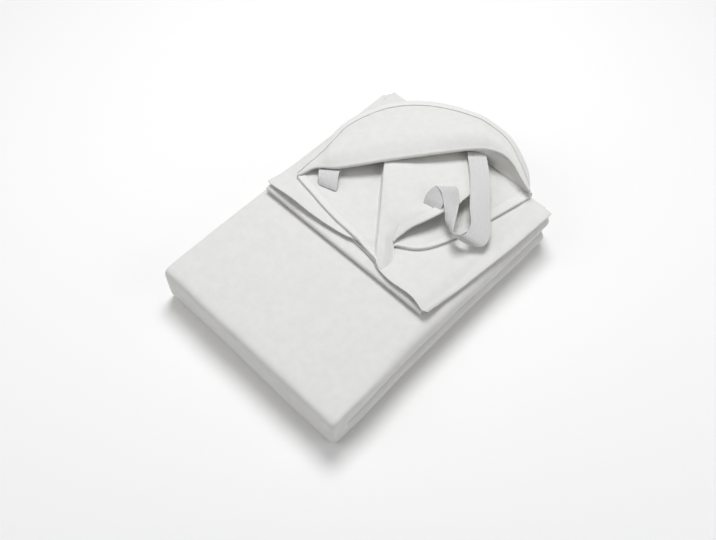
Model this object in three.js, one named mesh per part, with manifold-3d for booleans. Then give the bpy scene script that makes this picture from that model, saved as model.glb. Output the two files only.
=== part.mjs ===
// Folded cotton mattress protector with a turned-back corner and two elastic corner straps.
// Units are millimetres. The pack lies on z = 0, its width runs along X and its length along Y.
import * as THREE from 'three';
import Module from 'manifold-3d';

const wasm = await Module();
wasm.setup();
const { Manifold, Mesh } = wasm;

// Pack
const PACK_WIDTH = 266;
const PACK_LENGTH = 358;
const HALF_HEIGHT = 29;
const PLIES_PER_HALF = 12;
const PLY_GAP = 0.5;
const MIDDLE_GAP = 0.35;
const END_FOLD_DEPTH = 24;
const END_FOLD_SQUARENESS = 0.62;

// Top section, the end of the folded strip turned back over the pack
const SHEET = 1.7;
const SHEET_STEP = 2.45;
const FIRST_SHEET_Z = 59.35;
const TAIL = 6;
const TAIL_SHEET = 1.45;
const FAR_DROP = 5;
const FRONT_EDGE_Y = 159;

// Turned-back corner
const FOLD_ORIGIN = { x: 20, y: 204 };
const FOLD_ANGLE = THREE.MathUtils.degToRad(37);
const ROLL_RADIUS = 3.3;
const WALL_RUN = 36;

// Edge tape and elastic
const TAPE_WIDTH = 9;
const TAPE_THICKNESS = 0.8;
const SEAT_GAP = 0.35;
const LOOSE_GAP = 0.5;
const ELASTIC_THICKNESS = 1.2;

// Slivers smaller than this are closed up where plies join
const SIMPLIFY = 0.05;

const COTTON = { color: 0xf1f1f2, roughness: 0.95, metalness: 0 };
const TAPE = { color: 0xf6f6f6, roughness: 0.8, metalness: 0 };
const ELASTIC = { color: 0xececed, roughness: 0.7, metalness: 0 };

const SEGMENTS = {
  acrossPly: 2,
  outerRoll: 5,
  smallFold: 3,
  straight: 3,
  endFold: 7,
};

// Small maths helpers
const lerp = (a, b, t) => a + (b - a) * t;
const clamp01 = (t) => Math.min(1, Math.max(0, t));
const smooth = (a, b, v) => {
  const t = clamp01((v - a) / (b - a));
  return t * t * (3 - 2 * t);
};
const hill = (x, y, cx, cy, rx, ry) => Math.exp(-(((x - cx) / rx) ** 2) - ((y - cy) / ry) ** 2);

// A smooth curve through the rows of a table, evaluated by the first column
function tableCurve(rows, key, columns) {
  const fields = columns;
  return (value) => {
    const last = rows.length - 1;
    let i = 0;
    while (i < last - 1 && value > rows[i + 1][key]) {
      i += 1;
    }
    const before = rows[Math.max(0, i - 1)];
    const a = rows[i];
    const b = rows[i + 1];
    const after = rows[Math.min(last, i + 2)];
    const span = b[key] - a[key];
    const t = clamp01((value - a[key]) / span);
    const out = {};
    for (const f of fields) {
      const slopeA = (b[f] - before[f]) / (b[key] - before[key]);
      const slopeB = (after[f] - a[f]) / (after[key] - a[key]);
      const t2 = t * t;
      const t3 = t2 * t;
      const rise = slopeA * span * (t3 - 2 * t2 + t) + slopeB * span * (t3 - t2);
      out[f] = a[f] * (2 * t3 - 3 * t2 + 1) + b[f] * (3 * t2 - 2 * t3) + rise;
    }
    return out;
  };
}

// A curve through points, evaluated by its share of the whole length
function pathCurve(points) {
  const rows = points.map((p) => ({ ...p, s: 0 }));
  for (let i = 1; i < rows.length; i += 1) {
    const dz = (rows[i].z ?? 0) - (rows[i - 1].z ?? 0);
    rows[i].s = rows[i - 1].s + Math.hypot(rows[i].x - rows[i - 1].x, rows[i].y - rows[i - 1].y, dz);
  }
  const total = rows[rows.length - 1].s;
  rows.forEach((row) => {
    row.s /= total;
  });
  const columns = points[0].z === undefined ? ['x', 'y'] : ['x', 'y', 'z'];
  return tableCurve(rows, 's', columns);
}

// The pack is soft: it leans, bellies and sinks a little towards the far end
const drop = (y) => FAR_DROP * smooth(140, PACK_LENGTH, y);
function soften([x, y, z]) {
  const top = clamp01(z / (2 * HALF_HEIGHT));
  const dx = 0.8 * Math.sin(y / 88 + 0.6) * (0.4 + 0.6 * top) + 0.5 * Math.sin(y / 41 + z / 30);
  const dy = 0.9 * Math.sin(x / 74 + 0.9) + 0.5 * Math.sin(x / 37 + z / 26);
  const crown = 1.3 * hill(x, y, 120, 60, 130, 70) - 0.9 * hill(x, y, 262, 30, 60, 60);
  const sag = 0.8 * hill(x, y, 215, 120, 50, 60);
  return [x + dx, y + dy, z + top * (crown - sag - drop(y) * 1)];
}

// Closed solids from vertices and triangles
function toSolid(points, triangles) {
  const soft = points.map(soften);
  let volume = 0;
  for (const [a, b, c] of triangles) {
    const [p, q, r] = [soft[a], soft[b], soft[c]];
    volume += p[0] * (q[1] * r[2] - q[2] * r[1]);
    volume += p[1] * (q[2] * r[0] - q[0] * r[2]);
    volume += p[2] * (q[0] * r[1] - q[1] * r[0]);
  }
  const faces = volume > 0 ? triangles : triangles.map(([a, b, c]) => [a, c, b]);
  const mesh = new Mesh({
    numProp: 3,
    vertProperties: new Float32Array(soft.flat()),
    triVerts: new Uint32Array(faces.flat()),
  });
  return new Manifold(mesh);
}

function loft(rings, capOutline) {
  const n = rings[0].length;
  const triangles = [];
  for (let i = 0; i < rings.length - 1; i += 1) {
    for (let j = 0; j < n; j += 1) {
      const k = (j + 1) % n;
      triangles.push([i * n + j, i * n + k, (i + 1) * n + k]);
      triangles.push([i * n + j, (i + 1) * n + k, (i + 1) * n + j]);
    }
  }
  const cap = THREE.ShapeUtils.triangulateShape(capOutline, []);
  const end = (rings.length - 1) * n;
  const shape = THREE.ShapeUtils.area(capOutline) > 0 ? 1 : -1;
  for (const [a, b, c] of cap) {
    const turned = shape > 0 ? [a, c, b] : [a, b, c];
    triangles.push(turned);
    triangles.push([end + turned[0], end + turned[2], end + turned[1]]);
  }
  return toSolid(rings.flat(), triangles);
}

function gridNormals(grid) {
  return grid.map((row, i) => row.map((_, j) => {
    const up = grid[Math.min(grid.length - 1, i + 1)][j];
    const down = grid[Math.max(0, i - 1)][j];
    const right = row[Math.min(row.length - 1, j + 1)];
    const left = row[Math.max(0, j - 1)];
    const along = new THREE.Vector3(up[0] - down[0], up[1] - down[1], up[2] - down[2]);
    const across = new THREE.Vector3(right[0] - left[0], right[1] - left[1], right[2] - left[2]);
    return across.cross(along).normalize();
  }));
}

function sheet(grid, thickness) {
  const rows = grid.length;
  const columns = grid[0].length;
  const normals = gridNormals(grid);
  const points = [];
  for (const side of [0.5, -0.5]) {
    grid.forEach((row, i) => row.forEach((p, j) => {
      const n = normals[i][j];
      const t = side * thickness;
      points.push([p[0] + n.x * t, p[1] + n.y * t, p[2] + n.z * t]);
    }));
  }
  const at = (side, i, j) => side * rows * columns + i * columns + j;
  const triangles = [];
  const quad = (a, b, c, d) => {
    triangles.push([a, b, c]);
    triangles.push([a, c, d]);
  };
  for (let i = 0; i < rows - 1; i += 1) {
    for (let j = 0; j < columns - 1; j += 1) {
      quad(at(0, i, j), at(0, i, j + 1), at(0, i + 1, j + 1), at(0, i + 1, j));
      quad(at(1, i, j), at(1, i + 1, j), at(1, i + 1, j + 1), at(1, i, j + 1));
    }
  }
  for (let i = 0; i < rows - 1; i += 1) {
    const e = columns - 1;
    quad(at(0, i, 0), at(0, i + 1, 0), at(1, i + 1, 0), at(1, i, 0));
    quad(at(0, i, e), at(1, i, e), at(1, i + 1, e), at(0, i + 1, e));
  }
  for (let j = 0; j < columns - 1; j += 1) {
    const e = rows - 1;
    quad(at(0, 0, j), at(1, 0, j), at(1, 0, j + 1), at(0, 0, j + 1));
    quad(at(0, e, j), at(0, e, j + 1), at(1, e, j + 1), at(1, e, j));
  }
  return toSolid(points, triangles);
}

// Cross-section of half the pack: a strip folded back and forth inside its outer roll
const plyStep = (HALF_HEIGHT - MIDDLE_GAP + PLY_GAP) / PLIES_PER_HALF;
const plyThickness = plyStep - PLY_GAP;
const plyDepth = (k) => MIDDLE_GAP + plyThickness / 2 + k * plyStep;
const rollCentre = PACK_WIDTH - (HALF_HEIGHT - MIDDLE_GAP) / 2;

function plyOrder() {
  const order = [];
  for (let k = 0; k < PLIES_PER_HALF / 2; k += 1) {
    const pair = [k, PLIES_PER_HALF - 1 - k];
    order.push(...(k % 2 === 0 ? pair : pair.reverse()));
  }
  return order;
}

function stripSection() {
  const order = plyOrder();
  const smallRadius = plyStep / 2;
  const leftCentre = smallRadius + plyThickness / 2;
  const upper = [];
  const lower = [];
  const half = plyThickness / 2;
  const offsetPair = (x, d, nx, nd) => {
    upper.push(new THREE.Vector2(x + nx * half, d + nd * half));
    lower.push(new THREE.Vector2(x - nx * half, d - nd * half));
  };
  order.forEach((k, i) => {
    const rightwards = i % 2 === 0;
    const side = rightwards ? 1 : -1;
    const from = rightwards ? leftCentre : rollCentre;
    const to = rightwards ? rollCentre : leftCentre;
    const d = plyDepth(k);
    for (let s = 0; s <= SEGMENTS.acrossPly; s += 1) {
      offsetPair(lerp(from, to, s / SEGMENTS.acrossPly), d, 0, side);
    }
    if (i === order.length - 1) {
      return;
    }
    const next = plyDepth(order[i + 1]);
    const radius = Math.abs(next - d) / 2;
    const middle = (next + d) / 2;
    const steps = rightwards ? SEGMENTS.outerRoll : SEGMENTS.smallFold;
    const upwards = next > d ? 1 : -1;
    for (let s = 1; s < steps; s += 1) {
      const angle = (Math.PI * s) / steps;
      const nx = side * Math.sin(angle);
      const nd = -upwards * Math.cos(angle);
      const turn = -side * upwards * side;
      offsetPair(to + nx * radius, middle + nd * radius, turn * nx * side, turn * nd * side);
    }
  });
  return [...upper, ...lower.reverse()];
}

// The half pack runs forward, turns once at the closed end and runs back on itself
function packSolid() {
  const section = stripSection();
  const power = (v) => Math.sign(v) * Math.abs(v) ** END_FOLD_SQUARENESS;
  const stations = [];
  const straightStart = END_FOLD_DEPTH;
  for (let s = 0; s <= SEGMENTS.straight; s += 1) {
    const y = lerp(PACK_LENGTH, straightStart, s / SEGMENTS.straight);
    stations.push((d) => ({ y, z: HALF_HEIGHT - d }));
  }
  for (let s = 1; s < SEGMENTS.endFold; s += 1) {
    const angle = (Math.PI * s) / SEGMENTS.endFold;
    stations.push((d) => ({
      y: straightStart - (d / HALF_HEIGHT) * END_FOLD_DEPTH * power(Math.sin(angle)),
      z: HALF_HEIGHT - d * power(Math.cos(angle)),
    }));
  }
  for (let s = 0; s <= SEGMENTS.straight; s += 1) {
    const y = lerp(straightStart, PACK_LENGTH, s / SEGMENTS.straight);
    stations.push((d) => ({ y, z: HALF_HEIGHT + d }));
  }
  const rings = stations.map((station) => section.map((p) => {
    const { y, z } = station(p.y);
    return [p.x, y, z];
  }));
  return loft(rings, section);
}

// A ply that turns over at the far end, with a tail inside the ply at each end
function endTurn(x0, x1, zTop, zLow) {
  const radius = (zTop - zLow) / 2;
  const middle = (zTop + zLow) / 2;
  const columns = 5;
  const steps = 6;
  const profile = [{ y: PACK_LENGTH - TAIL, z: zTop }];
  for (let s = 0; s <= steps; s += 1) {
    const angle = (Math.PI * s) / steps;
    profile.push({ y: PACK_LENGTH + radius * Math.sin(angle), z: middle + radius * Math.cos(angle) });
  }
  profile.push({ y: PACK_LENGTH - TAIL, z: zLow });
  const grid = profile.map((p) => {
    const row = [];
    for (let c = 0; c <= columns; c += 1) {
      row.push([lerp(x0, x1, c / columns), p.y, p.z]);
    }
    return row;
  });
  return sheet(grid, TAIL_SHEET);
}

// Heights of the turned-back plies, one above the other
const front = (y, reach) => Math.exp(-(((y - FRONT_EDGE_Y) / reach) ** 2));
const tapeHem = pathCurve([
  { x: 11, y: 196 },
  { x: 16, y: 195 },
  { x: 63, y: 186 },
  { x: 103, y: 178 },
  { x: 135, y: 173.5 },
  { x: 163, y: 169 },
]);
const hemY = (x) => {
  const t = clamp01((x - 16) / 147);
  return lerp(195, 169, t) - 1.6 * Math.sin(Math.PI * t);
};
const cornerLift = (x) => Math.exp(-(((x - 14) / 38) ** 2)) + Math.exp(-(((x - 252) / 50) ** 2));
const lowerZ = (x, y) => FIRST_SHEET_Z + (1.2 + 1.6 * cornerLift(x)) * front(y, 17);
const upperZ = (x, y) => lowerZ(x, y) + SHEET_STEP + 1.1 * front(y, 18);
const rightZ = (x, y) => {
  const airy = 4.6 * hill(x, y, 238, 158, 46, 60) + 1.2 * smooth(225, 258, x) * (1 - smooth(300, 350, y));
  return upperZ(x, y) + SHEET_STEP + airy + 1.0 * hill(x, y, 178, 175, 40, 30);
};
const leftZ = (x, y) => {
  const open = 4.2 * hill(x, y, 36, 158, 50, 24);
  const rim = 1.0 * smooth(95, 135, x) * (1 - smooth(338, 348, y));
  return rightZ(Math.min(x, 240), y) + SHEET_STEP + open + rim;
};
const hemZ = (x, y) => {
  const lift = 1.1 * Math.exp(-(((y - hemY(x)) / 14) ** 2));
  return leftZ(x, y) + SHEET_STEP + lift;
};
const coverZ = (x, y) => hemZ(x, y) + SHEET_STEP;

// Plan patches between four edges
function patch(frontEdge, leftEdge, rightEdge, backEdge, u, v) {
  const f = frontEdge(u);
  const b = backEdge(u);
  const l = leftEdge(v);
  const r = rightEdge(v);
  const corner = (key) => {
    const low = lerp(frontEdge(0)[key], frontEdge(1)[key], u);
    const high = lerp(backEdge(0)[key], backEdge(1)[key], u);
    return lerp(low, high, v);
  };
  const mix = (key) => lerp(f[key], b[key], v) + lerp(l[key], r[key], u) - corner(key);
  return { x: mix('x'), y: mix('y') };
}
const line = (a, b) => (t) => ({ x: lerp(a.x, b.x, t), y: lerp(a.y, b.y, t) });
const even = (n) => Array.from({ length: n + 1 }, (_, i) => i / n);

// Rows of y that are closer at the front edge
const rowsAlong = (n) => even(n).map((t) => t ** 1.35);

// First ply over the pack, rolled back on itself at its front edge
function frontRollSheet() {
  const radius = (upperZ(0, FRONT_EDGE_Y) - lowerZ(0, FRONT_EDGE_Y)) / 2;
  const reach = radius + SHEET / 2;
  const startY = FRONT_EDGE_Y + reach;
  const columns = even(8);
  const grid = [];
  for (const t of [...rowsAlong(6)].reverse()) {
    const y = lerp(startY, PACK_LENGTH, t);
    grid.push(columns.map((c) => {
      const x = lerp(5, PACK_WIDTH - 9, c);
      return [x, y, lowerZ(x, y)];
    }));
  }
  for (let s = 1; s < 5; s += 1) {
    const angle = (Math.PI * s) / 5;
    grid.push(columns.map((c) => {
      const x = lerp(5, PACK_WIDTH - 9, c);
      const middle = (lowerZ(x, startY) + upperZ(x, startY)) / 2;
      const rise = (upperZ(x, startY) - lowerZ(x, startY)) / 2;
      return [x, startY - radius * Math.sin(angle), middle - rise * Math.cos(angle)];
    }));
  }
  for (const y of [startY, startY + TAIL, startY + 2 * TAIL]) {
    grid.push(columns.map((c) => {
      const x = lerp(5, PACK_WIDTH - 9, c);
      return [x, y, upperZ(x, y)];
    }));
  }
  return sheet(grid, TAIL_SHEET);
}

// Second ply, joined by the airy closed fold on the right to the ply with the plain front edge
const rightFrontY = (x) => {
  const rows = [
    { x: 20, y: 190 },
    { x: 100, y: 176 },
    { x: 171, y: 167 },
    { x: 182, y: 162 },
    { x: 205, y: 158.5 },
    { x: 236, y: 161 },
    { x: 256, y: 158.5 },
  ];
  return tableCurve(rows, 'x', ['y'])(x).y;
};
function rightFoldSheet() {
  const foldX = PACK_WIDTH - 9;
  const profile = [];
  for (const t of even(6)) {
    profile.push({ ply: 'upper', x: lerp(8, foldX, t) });
  }
  for (let s = 1; s < 6; s += 1) {
    profile.push({ ply: 'fold', angle: (Math.PI * s) / 6 });
  }
  for (const t of [0, 0.07, 0.16, 0.27, 0.4, 0.55, 0.75, 1]) {
    profile.push({ ply: 'right', x: lerp(foldX, 30, t) });
  }
  return rowsAlong(9).map((t) => profile.map((p) => {
    if (p.ply === 'upper') {
      const y = lerp(FRONT_EDGE_Y + 4, PACK_LENGTH, t);
      return [p.x, y, upperZ(p.x, y)];
    }
    if (p.ply === 'right') {
      const y = lerp(rightFrontY(p.x), PACK_LENGTH, t);
      return [p.x, y, rightZ(p.x, y)];
    }
    const share = p.angle / Math.PI;
    const startY = lerp(FRONT_EDGE_Y + 4, rightFrontY(foldX), share);
    const y = lerp(startY, PACK_LENGTH, t);
    const low = upperZ(foldX, y);
    const high = rightZ(foldX, y);
    const out = 8 * Math.sin(p.angle);
    return [foldX + out, y, lerp(low, high, (1 - Math.cos(p.angle)) / 2)];
  }));
}

// Third ply, joined by a closed fold on the left, with the rounded rim under the raised ply
const rimEdge = pathCurve([
  { x: 158, y: 196 },
  { x: 174, y: 201 },
  { x: 186, y: 208 },
  { x: 196, y: 219 },
  { x: 206, y: 237 },
  { x: 215, y: 257 },
  { x: 228, y: 294 },
  { x: 236, y: 335 },
  { x: 238, y: 358 },
]);
const leftFrontEdge = pathCurve([
  { x: 8, y: 159 },
  { x: 56, y: 160.5 },
  { x: 101, y: 164.5 },
  { x: 129, y: 171 },
  { x: 146, y: 184 },
  { x: 158, y: 196 },
]);
function leftFoldSheet() {
  const foldX = 8;
  const back = line({ x: foldX, y: PACK_LENGTH }, { x: 238, y: PACK_LENGTH });
  const left = line({ x: foldX, y: FRONT_EDGE_Y }, { x: foldX, y: PACK_LENGTH });
  return rowsAlong(10).map((t) => {
    const row = [];
    const y0 = lerp(FRONT_EDGE_Y + 4, PACK_LENGTH, t);
    for (const x of [foldX + 2 * TAIL, foldX]) {
      row.push([x, y0, upperZ(x, y0)]);
    }
    for (let s = 1; s < 6; s += 1) {
      const angle = (Math.PI * s) / 6;
      const y = lerp(lerp(FRONT_EDGE_Y + 4, FRONT_EDGE_Y, s / 6), PACK_LENGTH, t);
      const share = (1 - Math.cos(angle)) / 2;
      const z = lerp(upperZ(foldX, y), leftZ(foldX, y), share);
      row.push([foldX - 7 * Math.sin(angle), y, z]);
    }
    const seam = 1 - TAPE_WIDTH / lerp(150, 230, t);
    for (const u of [...even(8).map((e) => e * seam), 1]) {
      const p = patch(leftFrontEdge, left, rimEdge, back, u, t);
      row.push([p.x, p.y, leftZ(p.x, p.y)]);
    }
    return row;
  });
}

// Fourth ply: hem with edge tape in front, pleated and raised over the rim on the right
const creaseEdge = pathCurve([
  { x: 163, y: 170, z: 72.5 },
  { x: 142, y: 200, z: 77.5 },
  { x: 117, y: 233, z: 80.5 },
  { x: 91, y: 269, z: 82.5 },
  { x: 74, y: 296, z: 74 },
  { x: 66, y: 325, z: 72 },
  { x: 62, y: 358, z: 72 },
]);
const raisedEdge = pathCurve([
  { x: 172, y: 168, z: 73 },
  { x: 170.5, y: 183, z: 75.5 },
  { x: 172, y: 204, z: 79.5 },
  { x: 177.5, y: 230, z: 83 },
  { x: 184.5, y: 256, z: 84.5 },
  { x: 191, y: 285, z: 83 },
  { x: 190, y: 310, z: 79.5 },
  { x: 182, y: 332, z: 77 },
  { x: 176, y: 345, z: 74 },
  { x: 172, y: 358, z: 71 },
]);

// The corner fold is measured along its line and square to it
const cosFold = Math.cos(FOLD_ANGLE);
const sinFold = Math.sin(FOLD_ANGLE);
function foldPlace(x, y) {
  const dx = x - FOLD_ORIGIN.x;
  const dy = y - FOLD_ORIGIN.y;
  return { along: dx * cosFold + dy * sinFold, behind: dy * cosFold - dx * sinFold };
}
function foldPoint(along, behind) {
  const x = FOLD_ORIGIN.x + along * cosFold - behind * sinFold;
  const y = FOLD_ORIGIN.y + along * sinFold + behind * cosFold;
  return { x, y };
}
const cornerFold = tableCurve([
  { along: 0, fold: 0, top: 76, rim: 4, rimZ: 75.5 },
  { along: 17, fold: -1, top: 80, rim: 28, rimZ: 77 },
  { along: 40, fold: -2, top: 85, rim: 66, rimZ: 79 },
  { along: 68, fold: 3, top: 89, rim: 88, rimZ: 82 },
  { along: 97, fold: 10, top: 91.5, rim: 101, rimZ: 85 },
  { along: 128, fold: 17.5, top: 93, rim: 104.5, rimZ: 87.5 },
  { along: 164, fold: 27, top: 93.5, rim: 100.5, rimZ: 88.5 },
  { along: 201, fold: 36, top: 93, rim: 88, rimZ: 88 },
  { along: 222, fold: 36.5, top: 91, rim: 74, rimZ: 86 },
  { along: 238, fold: 33, top: 87, rim: 58, rimZ: 83 },
  { along: 250, fold: 22, top: 82, rim: 42, rimZ: 79 },
  { along: 257, fold: 6, top: 78, rim: 24, rimZ: 76.5 },
], 'along', ['fold', 'top', 'rim', 'rimZ']);
function foldSizes(along) {
  const c = cornerFold(along);
  const width = c.rim - c.fold;
  const radius = Math.min(ROLL_RADIUS, Math.max(1.35, 0.05 * width));
  const run = Math.min(WALL_RUN, 0.45 * width);
  return { ...c, width, radius, run };
}

// Underside limit of the cloth that rises to the corner roll
function wallLimit(x, y) {
  const { along, behind } = foldPlace(x, y);
  const c = foldSizes(Math.min(256, Math.max(1, along)));
  const t = clamp01((behind - c.fold - c.radius) / Math.max(1, c.run - c.radius));
  const high = c.top - 2 * c.radius;
  const low = coverZ(x, y) - drop(y);
  return lerp(high, low, t) - SHEET_STEP - 0.2;
}

function hemSheet() {
  const rows = [0, 0.05, 0.095, 0.14, 0.21, 0.29, 0.38, 0.47, 0.56, 0.66, 0.76, 0.88, 1];
  const left = line({ x: 11, y: 196 }, { x: 11, y: PACK_LENGTH });
  const crease = (v) => creaseEdge(v);
  const back = line({ x: 11, y: PACK_LENGTH }, { x: 62, y: PACK_LENGTH });
  return rows.map((v) => {
    const row = [];
    for (const u of [0, 0.15, 0.3, 0.45, 0.6, 0.75, 0.86, 0.95, 1]) {
      const p = patch(tapeHem, left, crease, back, u, v);
      row.push([p.x, p.y, hemZ(p.x, p.y)]);
    }
    const k = creaseEdge(v);
    const h = raisedEdge(v);
    const lobe = Math.hypot(h.x - k.x, h.y - k.y);
    const seam = Math.max(0.5, 1 - TAPE_WIDTH / lobe);
    for (const u of [0, 0.12 * seam, 0.35 * seam, 0.6 * seam, 0.82 * seam, seam, 1]) {
      const x = lerp(k.x + 0.5, h.x, u);
      const y = lerp(k.y, h.y, u);
      const puff = 3.2 * Math.sin(Math.PI * u) * Math.sin(Math.PI * clamp01(v * 1.25));
      const floor = leftZ(Math.min(x, 236), y) + SHEET_STEP + 0.95;
      const raised = lerp(k.z, h.z, u) + puff + drop(y);
      const limit = wallLimit(x, y) + drop(y);
      row.push([x, y, Math.max(floor, Math.min(raised, limit))]);
    }
    return row;
  });
}

// Fifth ply under the turned-back corner, and the corner itself
function coverSheet() {
  const foldX = 11;
  const grid = [];
  const stations = 8;
  for (let i = 0; i <= stations; i += 1) {
    const y = lerp(212, PACK_LENGTH + 8, i / stations);
    const row = [];
    for (const x of [foldX + 2 * TAIL, foldX + TAIL, foldX]) {
      row.push([x, y, hemZ(x, Math.min(y, PACK_LENGTH))]);
    }
    for (let s = 1; s < 4; s += 1) {
      const angle = (Math.PI * s) / 4;
      const z = lerp(hemZ(foldX, y), coverZ(foldX, y), (1 - Math.cos(angle)) / 2);
      row.push([foldX - 1.4 * Math.sin(angle), y, z]);
    }
    let reach = foldX + 3;
    for (let along = 1; along <= 256; along += 1) {
      const c = foldSizes(along);
      const p = foldPoint(along, c.fold + c.run + 1);
      if (p.y <= y) {
        reach = Math.max(reach, p.x);
      }
    }
    for (const u of [0, 0.25, 0.5, 0.75, 1]) {
      const x = lerp(foldX, reach, u);
      row.push([x, y, coverZ(x, y)]);
    }
    grid.push(row);
  }
  return grid;
}

function cornerSheet() {
  const grid = [];
  const alongs = [3, 10, 20, 33, 48, 66, 86, 108, 131, 155, 180, 203, 221, 235, 245, 252, 256];
  for (const along of alongs) {
    const c = foldSizes(along);
    const row = [];
    const add = (behind, z) => {
      const p = foldPoint(along, behind);
      row.push([p.x, p.y, z + drop(p.y)]);
    };
    const low = (behind) => {
      const p = foldPoint(along, behind);
      return coverZ(p.x, p.y) - drop(p.y);
    };
    const under = c.top - 2 * c.radius;
    add(c.fold + c.run + TAIL, low(c.fold + c.run + TAIL));
    add(c.fold + c.run, low(c.fold + c.run));
    add(lerp(c.fold + c.radius, c.fold + c.run, 0.5), lerp(under, low(c.fold + c.run), 0.5));
    for (let s = 0; s <= 5; s += 1) {
      const angle = (Math.PI * s) / 5;
      add(c.fold + c.radius * (1 - Math.sin(angle)), c.top - c.radius - c.radius * Math.cos(angle));
    }
    const slope = (cornerFold(along + 2).rim - cornerFold(along - 2).rim) / 4;
    const seam = 1 - (TAPE_WIDTH * Math.min(1.7, Math.hypot(1, slope))) / c.width;
    for (const e of [0.2 * seam, 0.45 * seam, 0.72 * seam, seam, 1]) {
      const behind = lerp(c.fold + c.radius, c.rim, e);
      const crown = 1.6 * Math.sin(Math.PI * e) * Math.min(1, c.width / 50);
      add(behind, lerp(c.top, c.rimZ, e) + crown);
    }
    grid.push(row);
  }
  return grid;
}

// Edge tape folded round the edge of a sheet: it follows the edge and the next line of the grid
function tape(host, places, gap) {
  const normals = gridNormals(host);
  const low = SHEET / 2 + gap;
  const high = low + TAPE_THICKNESS;
  const profile = [
    { on: 'inner', rise: low, out: 0 },
    { on: 'inner', rise: high, out: 0 },
    { on: 'edge', rise: high, out: gap + TAPE_THICKNESS },
    { on: 'edge', rise: -high, out: gap + TAPE_THICKNESS },
    { on: 'inner', rise: -high, out: 0 },
    { on: 'inner', rise: -low, out: 0 },
    { on: 'edge', rise: -low, out: gap },
    { on: 'edge', rise: low, out: gap },
  ];
  const outline = profile.map((q) => new THREE.Vector2(q.on === 'edge' ? -q.out : TAPE_WIDTH, q.rise));
  const edgePoint = (k) => {
    const { edge } = places[Math.min(places.length - 1, Math.max(0, k))];
    return new THREE.Vector3(...host[edge[0]][edge[1]]);
  };
  const rings = places.map(({ edge, inner }, k) => {
    const e = edgePoint(k);
    const i = new THREE.Vector3(...host[inner[0]][inner[1]]);
    const along = edgePoint(k + 1).sub(edgePoint(k - 1)).normalize();
    const outward = e.clone().sub(i);
    outward.addScaledVector(along, -outward.dot(along)).normalize();
    return profile.map((q) => {
      const [row, column] = q.on === 'edge' ? edge : inner;
      const p = (q.on === 'edge' ? e : i).clone().addScaledVector(outward, q.out);
      return p.addScaledVector(normals[row][column], q.rise).toArray();
    });
  });
  return loft(rings, outline);
}

// Elastic straps between two edges
function strapGrid(rows) {
  const near = pathCurve(rows.map((r) => ({ x: r.nx, y: r.ny, z: r.nz })));
  const far = pathCurve(rows.map((r) => ({ x: r.fx, y: r.fy, z: r.fz })));
  const steps = rows.length * 2;
  return even(steps).map((t) => {
    const a = near(t);
    const b = far(t);
    return [0, 0.5, 1].map((u) => {
      const y = lerp(a.y, b.y, u);
      return [lerp(a.x, b.x, u), y, lerp(a.z, b.z, u) + drop(y)];
    });
  });
}
const longStrap = [
  { nx: 181, ny: 260, nz: 87.1, fx: 159, fy: 263, fz: 86 },
  { nx: 177, ny: 264, nz: 94, fx: 155, fy: 270, fz: 93.5 },
  { nx: 171, ny: 272, nz: 98, fx: 156, fy: 288, fz: 97 },
  { nx: 174, ny: 273, nz: 97, fx: 168, fy: 295, fz: 96 },
  { nx: 182, ny: 267, nz: 94, fx: 185, fy: 289, fz: 94 },
  { nx: 191, ny: 259, nz: 88, fx: 199, fy: 278, fz: 93 },
  { nx: 198, ny: 254, nz: 76, fx: 208, fy: 263, fz: 93 },
  { nx: 210, ny: 249, nz: 73, fx: 214, fy: 252, fz: 95 },
  { nx: 224, ny: 251, nz: 72, fx: 223, fy: 252, fz: 94.5 },
  { nx: 237, ny: 259, nz: 71.5, fx: 228, fy: 256, fz: 92 },
  { nx: 241, ny: 272, nz: 72, fx: 226, fy: 265, fz: 88.5 },
  { nx: 233, ny: 289, nz: 74, fx: 216, fy: 278, fz: 85.5 },
  { nx: 217, ny: 308, nz: 79, fx: 198, fy: 296, fz: 85 },
  { nx: 200, ny: 328, nz: 82.5, fx: 181, fy: 315, fz: 84.5 },
  { nx: 184, ny: 345, nz: 83, fx: 165, fy: 332, fz: 84 },
  { nx: 166, ny: 362, nz: 80.5, fx: 148, fy: 349, fz: 80.5 },
];
const shortStrap = [
  { nx: 70, ny: 206, nz: 69.8, fx: 47, fy: 202, fz: 70.4 },
  { nx: 68, ny: 209, nz: 74, fx: 45, fy: 203.5, fz: 75 },
  { nx: 62, ny: 216, nz: 78, fx: 40, fy: 206, fz: 78 },
  { nx: 56, ny: 222, nz: 78, fx: 36, fy: 209.5, fz: 76.5 },
  { nx: 52, ny: 228, nz: 74, fx: 33, fy: 213, fz: 73 },
];

// Assembly
const step = (k) => FIRST_SHEET_Z + k * SHEET_STEP;
const upperPly = (k) => HALF_HEIGHT + plyDepth(k);
const lowerPly = (k) => HALF_HEIGHT - plyDepth(k);
const hemGrid = hemSheet();
const leftGrid = leftFoldSheet();
const cornerGrid = cornerSheet();
const clothParts = [
  packSolid(),
  endTurn(10, PACK_WIDTH - 12, lowerPly(2), lowerPly(11)),
  endTurn(14, PACK_WIDTH - 10, upperPly(6), lowerPly(1)),
  endTurn(9, PACK_WIDTH - 14, step(0), upperPly(11)),
  endTurn(11, PACK_WIDTH - 12, step(1), upperPly(10)),
  endTurn(34, PACK_WIDTH - 12, step(2), upperPly(9)),
  endTurn(12, 232, step(3), upperPly(8)),
  endTurn(14, 166, step(4), upperPly(7)),
  frontRollSheet(),
  sheet(rightFoldSheet(), SHEET),
  sheet(leftGrid, SHEET),
  sheet(hemGrid, SHEET),
  sheet(coverSheet(), SHEET - 0.15),
  sheet(cornerGrid, SHEET),
];
const cloth = clothParts.reduce((a, b) => a.add(b)).simplify(SIMPLIFY);

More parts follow.
